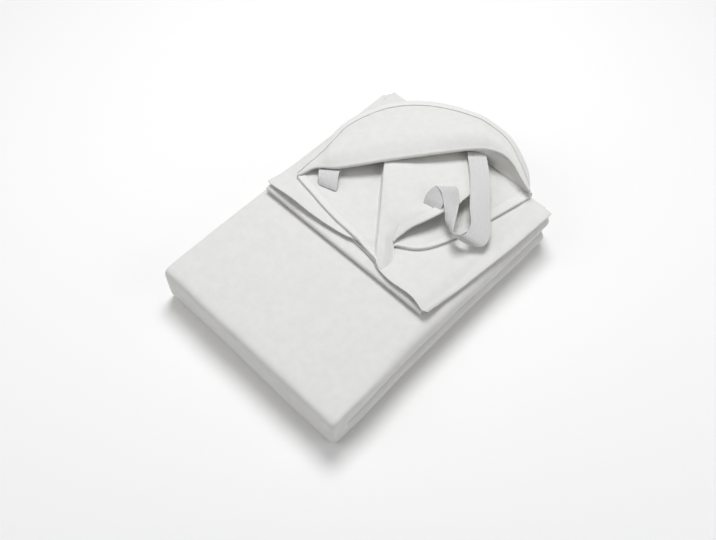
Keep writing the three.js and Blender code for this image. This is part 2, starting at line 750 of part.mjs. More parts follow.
const count = (from, to) => Array.from({ length: to - from + 1 }, (_, i) => from + i);
const lastOf = (grid) => grid[0].length - 1;
const sidePlaces = (grid, from, to) => {
  const last = lastOf(grid);
  return count(from, to).map((i) => ({ edge: [i, last], inner: [i, last - 1] }));
};
const rimGrid = even(12).map((t) => {
  const s = lerp(0.115, 0.84, t);
  const p = rimEdge(s);
  const a = rimEdge(s - 0.02);
  const b = rimEdge(s + 0.02);
  const length = Math.hypot(b.x - a.x, b.y - a.y);
  return [TAPE_WIDTH, 0].map((inset) => {
    const x = p.x - ((b.y - a.y) / length) * inset;
    const y = p.y + ((b.x - a.x) / length) * inset;
    return [x, y, leftZ(x, y)];
  });
});
const frontPlaces = count(0, 7).map((j) => ({ edge: [0, j], inner: [1, j] }));
const rimPlaces = sidePlaces(rimGrid, 0, rimGrid.length - 1);
const cornerPlaces = sidePlaces(cornerGrid, 1, cornerGrid.length - 2);
const strap = (rows) => sheet(strapGrid(rows), ELASTIC_THICKNESS);
const pieces = [
  { name: 'protector_cloth', look: COTTON, solid: cloth },
  { name: 'front_edge_tape', look: TAPE, solid: tape(hemGrid, frontPlaces, SEAT_GAP) },
  { name: 'raised_edge_tape', look: TAPE, solid: tape(hemGrid, sidePlaces(hemGrid, 2, 8), LOOSE_GAP) },
  { name: 'rim_edge_tape', look: TAPE, solid: tape(rimGrid, rimPlaces, SEAT_GAP) },
  { name: 'corner_edge_tape', look: TAPE, solid: tape(cornerGrid, cornerPlaces, LOOSE_GAP) },
  { name: 'long_elastic_strap', look: ELASTIC, solid: strap(longStrap) },
  { name: 'short_elastic_strap', look: ELASTIC, solid: strap(shortStrap) },
];

// The origin is the middle of the object's base
const whole = new THREE.Box3();
for (const { solid } of pieces) {
  const { min, max } = solid.boundingBox();
  whole.expandByPoint(new THREE.Vector3(...min));
  whole.expandByPoint(new THREE.Vector3(...max));
}
const middle = whole.getCenter(new THREE.Vector3());

const group = new THREE.Group();
group.name = 'mattress_protector';
for (const { name, look, solid } of pieces) {
  const mesh = solid.translate([-middle.x, -middle.y, -whole.min.z]).getMesh();
  const geometry = new THREE.BufferGeometry();
  geometry.setAttribute('position', new THREE.BufferAttribute(new Float32Array(mesh.vertProperties), 3));
  geometry.setIndex(new THREE.BufferAttribute(new Uint32Array(mesh.triVerts), 1));
  const node = new THREE.Mesh(geometry, new THREE.MeshStandardMaterial(look));
  node.name = name;
  group.add(node);
}

export default group;
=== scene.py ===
"""Folded cotton mattress protector: flannel plies, taped edges and elastic corner straps.

The drawing is in millimetres, as the part's own source is: the pack's width runs along X, its
length along Y, and it lies on z = 0. Every point is laid in the row's frame, in metres, by lie().
"""

import math

import bmesh
import bpy
from mathutils import Matrix, Vector, noise


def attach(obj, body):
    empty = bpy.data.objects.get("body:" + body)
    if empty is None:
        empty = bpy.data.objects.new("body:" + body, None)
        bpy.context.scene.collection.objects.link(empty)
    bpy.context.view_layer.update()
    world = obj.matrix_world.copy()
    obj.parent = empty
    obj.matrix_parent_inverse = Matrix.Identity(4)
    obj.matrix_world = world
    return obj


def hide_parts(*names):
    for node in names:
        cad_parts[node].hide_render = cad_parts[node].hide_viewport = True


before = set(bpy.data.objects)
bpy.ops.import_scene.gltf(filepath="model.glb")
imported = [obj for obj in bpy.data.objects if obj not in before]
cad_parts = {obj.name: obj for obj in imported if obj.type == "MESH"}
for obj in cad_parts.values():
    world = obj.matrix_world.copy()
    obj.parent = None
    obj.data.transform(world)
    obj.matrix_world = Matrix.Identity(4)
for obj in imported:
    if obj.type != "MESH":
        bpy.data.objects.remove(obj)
bpy.context.view_layer.update()

# The pack, folded back and forth into two halves of plies
PACK_WIDTH = 266
PACK_LENGTH = 358
HALF_HEIGHT = 29
PLIES_PER_HALF = 12
PLY_GAP = 0.5
MIDDLE_GAP = 0.35
END_FOLD_DEPTH = 24
# A fold is round at 1 and squarer below it
END_FOLD_SQUARENESS = 0.3
ROLL_SQUARENESS = 0.9
CORNER_SQUARENESS = 0.3

# The upper plies
SHEET = 1.7
SHEET_STEP = 2.45
FIRST_SHEET_Z = 59.35
TAIL = 6
FAR_DROP = 5
LEFT_FOLD_X = 8
FRONT_EDGE_Y = 159
FRONT_REACH = 5
FIRST_OPENING = 4
UPPER_REACH = PACK_WIDTH - 9
DRAWN_IN = 10.5
FRONT_LIFT = 2.2
RIGHT_EDGE_FALL = 3.6
HEM_FALL = 3.4
COVER_FALL = 1.7

# Tape and elastic
TAPE_WIDTH = 9
TAPE_THICKNESS = 0.8
SEAT_GAP = 0.35
LOOSE_GAP = 0.5
ELASTIC_THICKNESS = 1.2

# The turned-back corner's fold line, and its roll
FOLD_X = 20
FOLD_Y = 204
FOLD_TURN = math.radians(37)
ROLL_RADIUS = 3.3
LEAST_ROLL_RADIUS = 1.35
WALL_RUN = 36
FULL_WIDTH = 50
CORNER_SWELL = 6.4
LOBE_PUFF = 3.2

# From the drawing's corner to the middle of the base
TO_MIDDLE = Vector((132.6276, 199.6798, 0.0))
MM = 0.001


# Small maths
def lerp(a, b, t):
    return a + (b - a) * t


def clamp01(t):
    return min(1.0, max(0.0, t))


def smooth(a, b, v):
    """Rises gently from 0 at a to 1 at b, also where b is the smaller."""
    t = clamp01((v - a) / (b - a))
    return t * t * (3 - 2 * t)


def hill(x, y, cx, cy, rx, ry):
    """1 at its middle (cx, cy), falling off softly over its reach both ways."""
    return math.exp(-(((x - cx) / rx) ** 2) - ((y - cy) / ry) ** 2)


def swell(x, y, rise, *place):
    return rise * hill(x, y, *place)


def even(n, a=0.0, b=1.0):
    """n equal steps from a to b."""
    return [lerp(a, b, i / n) for i in range(n + 1)]


def table_curve(rows):
    """A smooth curve through rows, found by their first column."""

    def at(value):
        last = len(rows) - 1
        i = 0
        while i < last - 1 and value > rows[i + 1][0]:
            i += 1
        before, a = rows[max(0, i - 1)], rows[i]
        b, after = rows[i + 1], rows[min(last, i + 2)]
        span = b[0] - a[0]
        t = clamp01((value - a[0]) / span)
        t2, t3 = t * t, t * t * t
        out = []
        for k in range(1, len(a)):
            slope_a = (b[k] - before[k]) / (b[0] - before[0])
            slope_b = (after[k] - a[k]) / (after[0] - a[0])
            rise = slope_a * span * (t3 - 2 * t2 + t) + slope_b * span * (t3 - t2)
            out.append(a[k] * (2 * t3 - 3 * t2 + 1) + b[k] * (3 * t2 - 2 * t3) + rise)
        return out

    return at


def path_curve(points):
    """A smooth curve through points, found by the share of its length."""
    lengths = [0.0]
    for p, q in zip(points, points[1:]):
        lengths.append(lengths[-1] + math.dist(p, q))
    return table_curve([(s / lengths[-1], *p) for s, p in zip(lengths, points)])


# Softness of the pack
def drop(y):
    return FAR_DROP * smooth(140, PACK_LENGTH, y)


# Soft troughs and swells on the top: place, reach along and across, turn, rise
SWELLS = (
    (60, 128, 60, 12, -4, 0.5),
    (150, 40, 34, 70, 30, -0.45),
    (212, 96, 26, 60, -22, 0.5),
    (236, 60, 14, 50, -8, -0.6),
    (52, 60, 70, 26, 20, 0.4),
    (120, 100, 60, 16, 12, -0.35),
    (228, 215, 18, 60, -6, 0.7),
    (205, 182, 34, 10, 8, 0.6),
    (236, 300, 60, 14, 80, -0.5),
)


def rumple(x, y, rise, reach, seed):
    return rise * noise.noise(Vector((x / reach, y / reach, seed)))


def unevenness(x, y):
    rise = rumple(x, y, 0.5, 62, 3.1)
    rise += rumple(x, y, 0.22, 24, 7.7)
    for cx, cy, along, across, turn, height in SWELLS:
        c, s = math.cos(math.radians(turn)), math.sin(math.radians(turn))
        a = ((x - cx) * c + (y - cy) * s) / along
        b = ((y - cy) * c - (x - cx) * s) / across
        rise += height * math.exp(-a * a - b * b)
    return rise


# Large swells of the pack: rise, middle, reach both ways
CROWN = (1.3, 120, 60, 130, 70)
NEAR_CORNER_SAG = (-0.9, 262, 30, 60, 60)
STEP_SAG = (-0.8, 215, 120, 50, 60)

# How far edges waver, and the right side and closed end belly
EDGE_WAVER = 0.8
END_WAVER = 0.9
QUICK_WAVER = 0.5
SIDE_BELLY = 0.9
END_BELLY = 0.8
# How far the loose plies slide out at the far end, and to the right there
FAR_SLIDE = 4.5
FAR_SPREAD = 3


def lie(x, y, z):
    """The row's place, in metres, of a point of the drawing. The pack leans, bellies and sinks."""
    top = clamp01(z / (2 * HALF_HEIGHT))
    dx = EDGE_WAVER * math.sin(y / 88 + 0.6) * (0.4 + 0.6 * top)
    dx += QUICK_WAVER * math.sin(y / 41 + z / 30)
    dy = END_WAVER * math.sin(x / 74 + 0.9) + QUICK_WAVER * math.sin(x / 37 + z / 26)
    crown = swell(x, y, *CROWN) + swell(x, y, *NEAR_CORNER_SAG) + swell(x, y, *STEP_SAG)
    dz = top * (crown - drop(y)) + smooth(22, 56, z) * unevenness(x, y)
    side = smooth(222, 262, x)
    dx += side * SIDE_BELLY * noise.noise(Vector((y / 46, z / 13, 1.3)))
    end = (1 - smooth(4, 40, y)) * (1 - side)
    dy += end * END_BELLY * noise.noise(Vector((x / 52, z / 16, 5.2)))
    far = smooth(180, PACK_LENGTH, y) * (1 - smooth(74, 88, z))
    dy += FAR_SLIDE * far * smooth(20, 58, z)
    dx += FAR_SPREAD * far * smooth(190, 262, x)
    return (Vector((x + dx, y + dy, z + dz)) - TO_MIDDLE) * MM


# Plies laid from flat grids
def lay_grid(mesh, across, along, place, uv_size=None):
    """A flat grid of cloth whose points are laid where place(a, b) says, in the drawing."""
    made = bmesh.ops.create_grid(
        mesh, x_segments=len(across) - 1, y_segments=len(along) - 1, size=0.5, calc_uvs=False
    )
    uv_layer = mesh.loops.layers.uv.verify()
    steps = (len(across) - 1, len(along) - 1)
    where = {}
    for v in made["verts"]:
        where[v] = (round((v.co.x + 0.5) * steps[0]), round((v.co.y + 0.5) * steps[1]))
    for v, (i, j) in where.items():
        v.co = lie(*place(across[i], along[j]))
    if uv_size:
        for face in {f for v in made["verts"] for f in v.link_faces}:
            for loop in face.loops:
                i, j = where[loop.vert]
                loop[uv_layer].uv = (uv_size[0] * i / steps[0], uv_size[1] * j / steps[1])
    return made["verts"]


def new_piece(mesh, name, material):
    bmesh.ops.recalc_face_normals(mesh, faces=mesh.faces)
    data = bpy.data.meshes.new(name)
    mesh.to_mesh(data)
    mesh.free()
    piece = bpy.data.objects.new(name, data)
    bpy.context.collection.objects.link(piece)
    data.materials.append(material)
    for face in data.polygons:
        face.use_smooth = True
    return piece


def finish_piece(mesh, name, thickness, material, rounding=0.0):
    """Turns a bmesh of laid grids into a cloth object with its thickness."""
    piece = new_piece(mesh, name, material)
    wall = piece.modifiers.new("thickness", "SOLIDIFY")
    wall.thickness = thickness * MM
    wall.offset = 0
    wall.use_even_offset = False
    if rounding:
        edge = piece.modifiers.new("soft edge", "BEVEL")
        edge.width = rounding * MM
        edge.segments = 2
        edge.limit_method = "ANGLE"
        edge.angle_limit = math.radians(60)
    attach(piece, "root")
    return piece


# The pack
ply_step = (HALF_HEIGHT - MIDDLE_GAP + PLY_GAP) / PLIES_PER_HALF
ply_thickness = ply_step - PLY_GAP
roll_centre = PACK_WIDTH - (HALF_HEIGHT - MIDDLE_GAP) / 2


def ply_depth(k):
    return MIDDLE_GAP + ply_thickness / 2 + k * ply_step


def ply_order():
    """The order in which the strip runs through the plies of a half."""
    order = []
    for k in range(PLIES_PER_HALF // 2):
        pair = [k, PLIES_PER_HALF - 1 - k]
        order += pair if k % 2 == 0 else pair[::-1]
    return order


def strip_section():
    """The folded strip's middle line: x, depth from the pack's middle, roll radius and angle."""
    order = ply_order()
    left_centre = ply_step / 2 + ply_thickness / 2
    line = []
    for i, k in enumerate(order):
        rightwards = i % 2 == 0
        start, stop = (left_centre, roll_centre) if rightwards else (roll_centre, left_centre)
        steps = 30 if k == PLIES_PER_HALF - 1 else 6
        line += [(x, ply_depth(k), 0, 0) for x in even(steps, start, stop)]
        if i == len(order) - 1:
            break
        low, high = ply_depth(k), ply_depth(order[i + 1])
        side = 1 if rightwards else -1
        steps = (16 if abs(high - low) > 15 else 9) if rightwards else 5
        radius = (high - low) / 2
        for angle in even(steps, 0, math.pi)[1:-1]:
            if rightwards:
                line.append((stop, (low + high) / 2, radius, angle))
            else:
                turn_x = stop - abs(radius) * math.sin(angle)
                line.append((turn_x, (low + high) / 2 - radius * math.cos(angle), 0, 0))
    return line


def end_path():
    """Stations from the far end under the pack, round the closed end and back over it."""
    stations = [("low", y) for y in even(22, PACK_LENGTH, END_FOLD_DEPTH)]
    stations += [("turn", angle) for angle in even(18, 0, math.pi)[1:-1]]
    stations += [("high", y) for y in even(30, END_FOLD_DEPTH, PACK_LENGTH)]
    return stations


def pack_place(point, station):
    x, depth, radius, angle = point
    kind, value = station
    if radius:
        near_end = 1.0 if kind == "turn" else smooth(130, 30, value)
        squareness = lerp(ROLL_SQUARENESS, CORNER_SQUARENESS, near_end)
        turn = math.cos(angle)
        x += abs(radius) * math.sin(angle) ** squareness
        depth -= radius * math.copysign(abs(turn) ** squareness, turn)
    if kind == "low":
        return x, value, HALF_HEIGHT - depth
    if kind == "high":
        return x, value, HALF_HEIGHT + depth
    c, s = math.cos(value), math.sin(value)
    squared = math.copysign(abs(c) ** END_FOLD_SQUARENESS, c)
    reach = depth / HALF_HEIGHT * END_FOLD_DEPTH * s**END_FOLD_SQUARENESS
    return x, END_FOLD_DEPTH - reach, HALF_HEIGHT - depth * squared


def far_turn(mesh, left, right, z_top, z_low):
    """A ply that turns over at the far end, with a tail inside the ply at each end."""
    radius, middle = (z_top - z_low) / 2, (z_top + z_low) / 2
    line = [(PACK_LENGTH - TAIL, z_top)]
    for angle in even(10, 0, math.pi):
        line.append((PACK_LENGTH + radius * math.sin(angle), middle + radius * math.cos(angle)))
    line.append((PACK_LENGTH - TAIL, z_low))
    lay_grid(mesh, even(22, left, right), line, lambda x, p: (x, p[0], p[1]))


# Heights of the top plies
def front(y, reach):
    """1 at the upper plies' front edge, falling off over its reach."""
    return math.exp(-(((y - FRONT_EDGE_Y) / reach) ** 2))


def corner_lift(x):
    return math.exp(-(((x - 14) / 38) ** 2)) + math.exp(-(((x - 252) / 50) ** 2))


def lower_z(x, y):
    return FIRST_SHEET_Z + (1.2 + 1.6 * corner_lift(x)) * front(y, 17)


def upper_z(x, y):
    return lower_z(x, y) + SHEET_STEP + FRONT_LIFT * front(y, 14)


def right_reach(y):
    """How far right the upper plies reach: they draw in toward the front."""
    share = clamp01((y - FRONT_EDGE_Y) / (PACK_LENGTH - FRONT_EDGE_Y))
    return UPPER_REACH - DRAWN_IN * (1 - share)


# Airy places between the upper plies: rise, middle, reach both ways
RIGHT_FOLD_AIR = (4.6, 238, 158, 46, 60)
RIM_AIR = (1.0, 178, 175, 40, 30)
LEFT_FOLD_AIR = (5.5, 42, 158, 26, 22)
FRONT_AIR = (2.2, 88, 160, 36, 20)
# The least from one ply's middle to the next
LEAST_STEP = 2


def right_z(x, y):
    x += UPPER_REACH - right_reach(y)
    airy = swell(x, y, *RIGHT_FOLD_AIR)
    airy += 1.2 * smooth(225, 258, x) * (1 - smooth(300, 350, y))
    airy += swell(x, y, *RIM_AIR) - RIGHT_EDGE_FALL * smooth(238, 262, x) ** 1.5
    return upper_z(x, y) + max(LEAST_STEP, SHEET_STEP + airy)


def left_z(x, y):
    opened = swell(x, y, *LEFT_FOLD_AIR) + swell(x, y, *FRONT_AIR)
    rim = 1.0 * smooth(95, 135, x) * (1 - smooth(338, 348, y))
    return right_z(min(x, 240), y) + SHEET_STEP + opened + rim


def hem_y(x):
    t = clamp01((x - 16) / 147)
    return lerp(195, 169, t) - 1.6 * math.sin(math.pi * t)


def hem_z(x, y):
    lift = 1.1 * math.exp(-(((y - hem_y(x)) / 14) ** 2))
    past_rim_ply = ((x - 129) * 25 - (y - 171) * 29) / 38.3
    return left_z(x, y) + SHEET_STEP + lift - HEM_FALL * smooth(0, 14, past_rim_ply)


def cover_z(x, y):
    return hem_z(x, y) + SHEET_STEP * (1 - COVER_FALL * smooth(172, 200, x))


# Plan shapes of the top plies
def patch(front_edge, left_edge, right_edge, back_edge, u, v):
    """A point between four edges."""
    f, b, l, r = front_edge(u), back_edge(u), left_edge(v), right_edge(v)
    f0, f1, b0, b1 = front_edge(0), front_edge(1), back_edge(0), back_edge(1)
    out = []
    for k in (0, 1):
        corner = lerp(lerp(f0[k], f1[k], u), lerp(b0[k], b1[k], u), v)
        out.append(lerp(f[k], b[k], v) + lerp(l[k], r[k], u) - corner)
    return out


def straight(a, b):
    return lambda t: (lerp(a[0], b[0], t), lerp(a[1], b[1], t))


def rows_along(n):
    """Rows that are closer at the front edge."""
    return [t**1.35 for t in even(n)]


tape_hem = path_curve(
    [
        (20, 191),
        (25, 189.2),
        (36, 187),
        (49, 184.6),
        (89, 177.4),
        (115, 174.7),
        (140, 172.4),
        (158, 169.5),
        (169, 167),
        (176, 162.8),
    ]
)
right_front_y = table_curve(
    [(20, 190), (100, 176), (171, 167), (182, 162), (205, 158.5), (236, 159.5), (256, 156)]
)
rim_edge = path_curve(
    [
        (158, 196),
        (174, 201),
        (186, 208),
        (196, 219),
        (205.5, 238),
        (211, 254),
        (217.5, 277),
        (223.5, 304),
        (229.5, 331),
        (235, 358),
    ]
)
left_front_edge = path_curve(
    [(8, 159), (56, 160.5), (101, 164.5), (129, 171), (146, 184), (158, 196)]
)
crease_edge = path_curve(
    [
        (176, 162.8, 70.6),
        (171, 166, 71.8),
        (164.8, 172.5, 73.6),
        (157, 182, 75.7),
        (142.5, 201, 78),
        (126, 222, 80),
        (109, 243, 81.5),
        (89.5, 268.7, 82.5),
        (74, 296, 74),
        (66, 325, 72),
        (62, 358, 72),
    ]
)
raised_edge = path_curve(
    [
        (187, 163.5, 67.6),
        (186, 174, 66.6),
        (180, 186, 66),
        (171.5, 194, 67.6),
        (165.5, 199, 71.2),
        (167, 212, 75.2),
        (170.5, 224.5, 78.8),
        (176, 236, 81.4),
        (181, 248, 83.4),
        (185.5, 261, 84.6),
        (191, 285, 83.5),
        (190, 310, 79.5),
        (182, 332, 77),
        (176, 345, 74),
        (172, 358, 71),
    ]
)


def front_roll(mesh):
    """First ply over the pack, rolled back on itself at its front edge."""
    radius = (upper_z(0, FRONT_EDGE_Y) - lower_z(0, FRONT_EDGE_Y)) / 2
    start_y = FRONT_EDGE_Y - FRONT_REACH + radius + SHEET / 2
    stations = [("low", t) for t in reversed(rows_along(26))]
    stations += [("turn", a) for a in even(9, 0, math.pi)[1:-1]]
    stations += [("high", start_y + k * TAIL / 2) for k in range(6)]

    def place(x, station):
        kind, value = station
        if kind == "low":
            y = lerp(start_y, PACK_LENGTH, value)
            return x, y, lower_z(x, y)
        if kind == "high":
            return x, value, upper_z(x, value)
        low, high = lower_z(x, start_y), upper_z(x, start_y)
        y = start_y - radius * math.sin(value)
        return x, y, (low + high) / 2 - (high - low) / 2 * math.cos(value)

    def drawn_place(share, station):
        y = place(0, station)[1]
        return place(lerp(5, right_reach(y), share), station)

    lay_grid(mesh, even(64), stations, drawn_place)


def right_fold(mesh):
    """Second ply, joined by the airy closed fold on the right to the ply with the plain edge."""
    hidden_end = 30
    profile = [("upper", share) for share in even(16)]
    profile += [("fold", a) for a in even(11, 0, math.pi)[1:-1]]
    profile += [("right", t**1.25) for t in even(54)]

    def place(p, t):
        kind, value = p
        if kind == "upper":
            y = lerp(FRONT_EDGE_Y + FIRST_OPENING, PACK_LENGTH, t)
            x = lerp(LEFT_FOLD_X, right_reach(y), value)
            return x, y, upper_z(x, y)
        if kind == "right":
            front_y = right_front_y(lerp(UPPER_REACH, hidden_end, value))[0]
            y = lerp(front_y, PACK_LENGTH, t)
            x = lerp(right_reach(y), hidden_end, value)
            return x, y, right_z(x, y)
        fold_y = FRONT_EDGE_Y + FIRST_OPENING
        start_y = lerp(fold_y, right_front_y(UPPER_REACH)[0], value / math.pi)
        y = lerp(start_y, PACK_LENGTH, t)
        fold_x = right_reach(y)
        low, high = upper_z(fold_x, y), right_z(fold_x, y)
        bulge = lerp(5, 8, smooth(170, 260, y)) * math.sin(value)
        return fold_x + bulge, y, lerp(low, high, (1 - math.cos(value)) / 2)

    lay_grid(mesh, profile, rows_along(60), place)


def rim_place(u, t):
    """The third ply's flat part, between the left fold, its front edge and its rounded rim."""
    back = straight((LEFT_FOLD_X, PACK_LENGTH), (238, PACK_LENGTH))
    left = straight((LEFT_FOLD_X, FRONT_EDGE_Y), (LEFT_FOLD_X, PACK_LENGTH))
    x, y = patch(left_front_edge, left, rim_edge, back, u, t)
    return x, y, left_z(x, y)


def left_fold(mesh):
    """Third ply, joined by a closed fold on the left, with the rounded rim on the right."""
    fold_x, bulge = LEFT_FOLD_X, 6.4
    profile = [("tail", fold_x + 2 * TAIL), ("tail", fold_x)]
    profile += [("fold", a) for a in even(10, 0, math.pi)[1:-1]]
    profile += [("flat", u) for u in even(52)]

    def place(p, t):
        kind, value = p
        if kind == "tail":
            y = lerp(FRONT_EDGE_Y + FIRST_OPENING, PACK_LENGTH, t)
            return value, y, upper_z(value, y)
        if kind == "flat":
            return rim_place(value, t)
        start_y = lerp(FRONT_EDGE_Y + FIRST_OPENING, FRONT_EDGE_Y, value / math.pi)
        y = lerp(start_y, PACK_LENGTH, t)
        share = (1 - math.cos(value)) / 2
        z = lerp(upper_z(fold_x, y), left_z(fold_x, y), share)
        return fold_x - bulge * math.sin(value), y, z

    lay_grid(mesh, profile, rows_along(56), place)


# The corner fold
COS_FOLD, SIN_FOLD = math.cos(FOLD_TURN), math.sin(FOLD_TURN)


def fold_place(x, y):
    """How far a point lies along the corner's fold line, and how far behind it."""
    dx, dy = x - FOLD_X, y - FOLD_Y
    return dx * COS_FOLD + dy * SIN_FOLD, dy * COS_FOLD - dx * SIN_FOLD


def fold_point(along, behind):
    x = FOLD_X + along * COS_FOLD - behind * SIN_FOLD
    return x, FOLD_Y + along * SIN_FOLD + behind * COS_FOLD


# Along the fold line: fold, top, rim, rim height
corner_fold = table_curve(
    [
        (-8, -12.6, 73.4, -10.8, 73.2),
        (-3, -10.6, 74.8, -2.5, 74.4),
        (3, -7.4, 76.8, 9.5, 75.8),
        (10, -4, 79, 20.5, 76.6),
        (20, -2, 80.8, 34, 77.4),
        (40, -2, 85, 66, 79),
        (68, 3, 89, 88, 82),
        (97, 10, 91.5, 101, 85),
        (128, 17.5, 93, 105, 87.5),
        (164, 27, 94, 101, 88.5),
        (201, 36, 94, 89.5, 88.5),
        (217, 36, 93, 79.5, 88),
        (232, 32, 90.5, 68, 86.5),
        (242, 24.5, 87.5, 57, 85),
        (250, 14, 84, 44.5, 82.5),
        (256, 4, 80.5, 32.5, 80),
        (260, -3, 77.5, 20.5, 77.5),
        (262.6, -7.5, 75, 3, 74.8),
    ]
)
LAST_ALONG = 262.6
# The rising wall's foot stays on the pack
FOOT_Y = 360
FLAP_DROOP = 2.4


def fold_sizes(along):
    """Fold, top, rim, rim height, width, roll radius and the wall's run at a station."""
    fold, top, rim, rim_z = corner_fold(along)
    width = rim - fold
    radius = min(ROLL_RADIUS, max(LEAST_ROLL_RADIUS, 0.05 * width))
    droop = FLAP_DROOP * min(1, width / FULL_WIDTH) * smooth(1.4, 3, radius)
    top, radius = top - droop, radius - droop / 2
    run = min(WALL_RUN, 0.45 * width)
    foot = (FOOT_Y - FOLD_Y - along * SIN_FOLD) / COS_FOLD
    return fold, top, rim, rim_z, width, radius, min(run, foot - fold)


def wall_limit(x, y):
    """Underside limit of the cloth that rises to the corner roll."""
    along, behind = fold_place(x, y)
    fold, top, _, _, _, radius, run = fold_sizes(min(LAST_ALONG, max(1, along)))
    t = clamp01((behind - fold - radius) / max(1, run - radius))
    return lerp(top - 2 * radius, cover_z(x, y) - drop(y), t) - SHEET_STEP - 0.2


def hem_place(a, v):
    """The fourth ply: up to 1 the flat part with the hem in front, past 1 the raised lobe."""
    if a <= 1:
        left = straight((20, 191), (13, PACK_LENGTH))
        back = straight((13, PACK_LENGTH), (62, PACK_LENGTH))
        x, y = patch(tape_hem, left, crease_edge, back, a, v)
        edge = crease_edge(v)
        start = left(v)
        away = (1 - a) * math.dist(start, edge[:2])
        z = hem_z(x, y)
        top = lobe_place(0, v)[2]
        rise = smooth(12, 0, away) ** 1.6
        trough = math.exp(-(((away - 11) / 7) ** 2)) - 1.1 * math.exp(-(((away - 30) / 9) ** 2))
        z -= 0.55 * trough * smooth(0, 0.12, v) * (1 - smooth(0.5, 0.7, v))
        return x, y, lerp(z, lerp(top, max(z, top), smooth(0.03, 0.12, v)), rise)
    return lobe_place(a - 1, v)


def lobe_place(u, v):
    """The raised lobe, from its ridge at u = 0 to its taped edge at u = 1."""
    k, h = crease_edge(v), raised_edge(v)
    x, y = lerp(k[0] + 0.5, h[0], u), lerp(k[1], h[1], u)
    puff = LOBE_PUFF * math.sin(math.pi * u) * math.sin(math.pi * clamp01(v * 1.25))
    floor = left_z(min(x, 236), y) + SHEET_STEP + 0.95
    tip = smooth(0.27, 0.17, v)
    puff *= smooth(0.14, 0.34, v)
    share = lerp(u, smooth(0.25, 1.0, u), tip)
    raised = lerp(k[2], h[2], share) + puff + drop(y)
    floor = lerp(floor, raised, tip)
    return x, y, max(floor, min(raised, wall_limit(x, y) + drop(y)))


def lobe_seam(v):
    """The share of the lobe's width at which its tape is sewn."""
    k, h = crease_edge(v), raised_edge(v)
    return max(0.4, 1 - TAPE_WIDTH / math.dist(k[:2], h[:2]))


def hem_ply(mesh):
    flat = [1 - (1 - t) ** 1.3 for t in even(44)]
    flat += [1 + t for t in even(40)[1:]]
    lay_grid(mesh, flat, rows_along(72), hem_place)


def cover_ply(mesh):
    """Fifth ply, under the turned-back corner."""
    fold_x, bulge = 14, 1.4
    profile = [("tail", fold_x + 2 * TAIL), ("tail", fold_x + TAIL), ("tail", fold_x)]
    profile += [("fold", a) for a in even(6, 0, math.pi)[1:-1]]
    profile += [("flat", u) for u in even(30)]
    reaches = []
    for along in range(1, int(LAST_ALONG)):
        fold, _, _, _, _, _, run = fold_sizes(along)
        reaches.append(fold_point(along, fold + run + 1))

    def place(p, y):
        kind, value = p
        if kind == "tail":
            return value, y, hem_z(value, min(y, PACK_LENGTH))
        if kind == "fold":
            share = (1 - math.cos(value)) / 2
            z = lerp(hem_z(fold_x, y), cover_z(fold_x, y), share)
            return fold_x - bulge * math.sin(value), y, z
        reach = max([fold_x + 3] + [q[0] for q in reaches if q[1] <= y])
        x = lerp(fold_x, reach, value)
        return x, y, cover_z(x, y)

    lay_grid(mesh, profile, even(40, 212, PACK_LENGTH + 8), place)


def corner_slope(along):
    return (corner_fold(along + 2)[2] - corner_fold(along - 2)[2]) / 4


def corner_seam(along):
    """The share of the corner's width at which its tape is sewn."""
    width = fold_sizes(along)[4]
    return max(0.4, 1 - TAPE_WIDTH * min(2.2, math.hypot(1, corner_slope(along))) / width)


def corner_place(q, along):
    """The turned-back corner: q is below 1 on the rising wall, to 2 round the roll, then on top."""
    fold, top, rim, rim_z, width, radius, run = fold_sizes(along)

    def low(behind):
        x, y = fold_point(along, behind)
        return cover_z(x, y) - drop(y)

    if q <= 0:
        behind = fold + run + TAIL * min(1, -q)
        z = low(behind)
    elif q < 1:
        behind = lerp(fold + run, fold + radius, q)
        z = lerp(low(fold + run), top - 2 * radius, q)
    elif q <= 2:
        angle = math.pi * (q - 1)
        behind = fold + radius * (1 - math.sin(angle))
        z = top - radius - radius * math.cos(angle)
    else:
        e = q - 2
        behind = lerp(fold + radius, rim, e)
        rise = CORNER_SWELL * math.sin(math.pi * e**0.8)
        rise += FLAP_DROOP * smooth(0, 0.25, e) * (1 - e)
        z = lerp(top, rim_z, e) + rise * min(1, width / FULL_WIDTH) ** 2
    x, y = fold_point(along, behind)
    return x, y, z + drop(y)


CORNER_ALONG = (-8, -4, 3, 12, 24, 40, 60, 84, 108, 131, 155, 180, 203, 221, 235, 245, 252)
CORNER_ALONG += (257, 260, 262, LAST_ALONG)


def along_corner(n):
    """Stations along the corner fold, closer at its two ends."""
    curve = table_curve([(k, a) for k, a in enumerate(CORNER_ALONG)])
    return [curve(k)[0] for k in even(n, 0, len(CORNER_ALONG) - 1)]


def corner_ply(mesh):
    tail, wall = [-1, -0.5], even(12)
    roll = [1 + a for a in even(10)[1:]]
    top = [2 + e for e in even(34)[1:]]
    profile = tail + wall + roll + top
    lay_grid(mesh, profile, along_corner(96), corner_place)


# Edge tape
def square_to(place, a, b, da, db):
    """The surface's direction square to it, at place(a, b)."""
    across = Vector(place(a + da, b)) - Vector(place(a - da, b))
    along = Vector(place(a, b + db)) - Vector(place(a, b - db))
    n = across.cross(along)
    if n.z < 0:
        n = -n
    return n.normalized()


# Where the sewn groove runs across the tape, and how deep it is pulled in
STITCH_SHARE = 0.2
GROOVE_DEPTH = 0.35


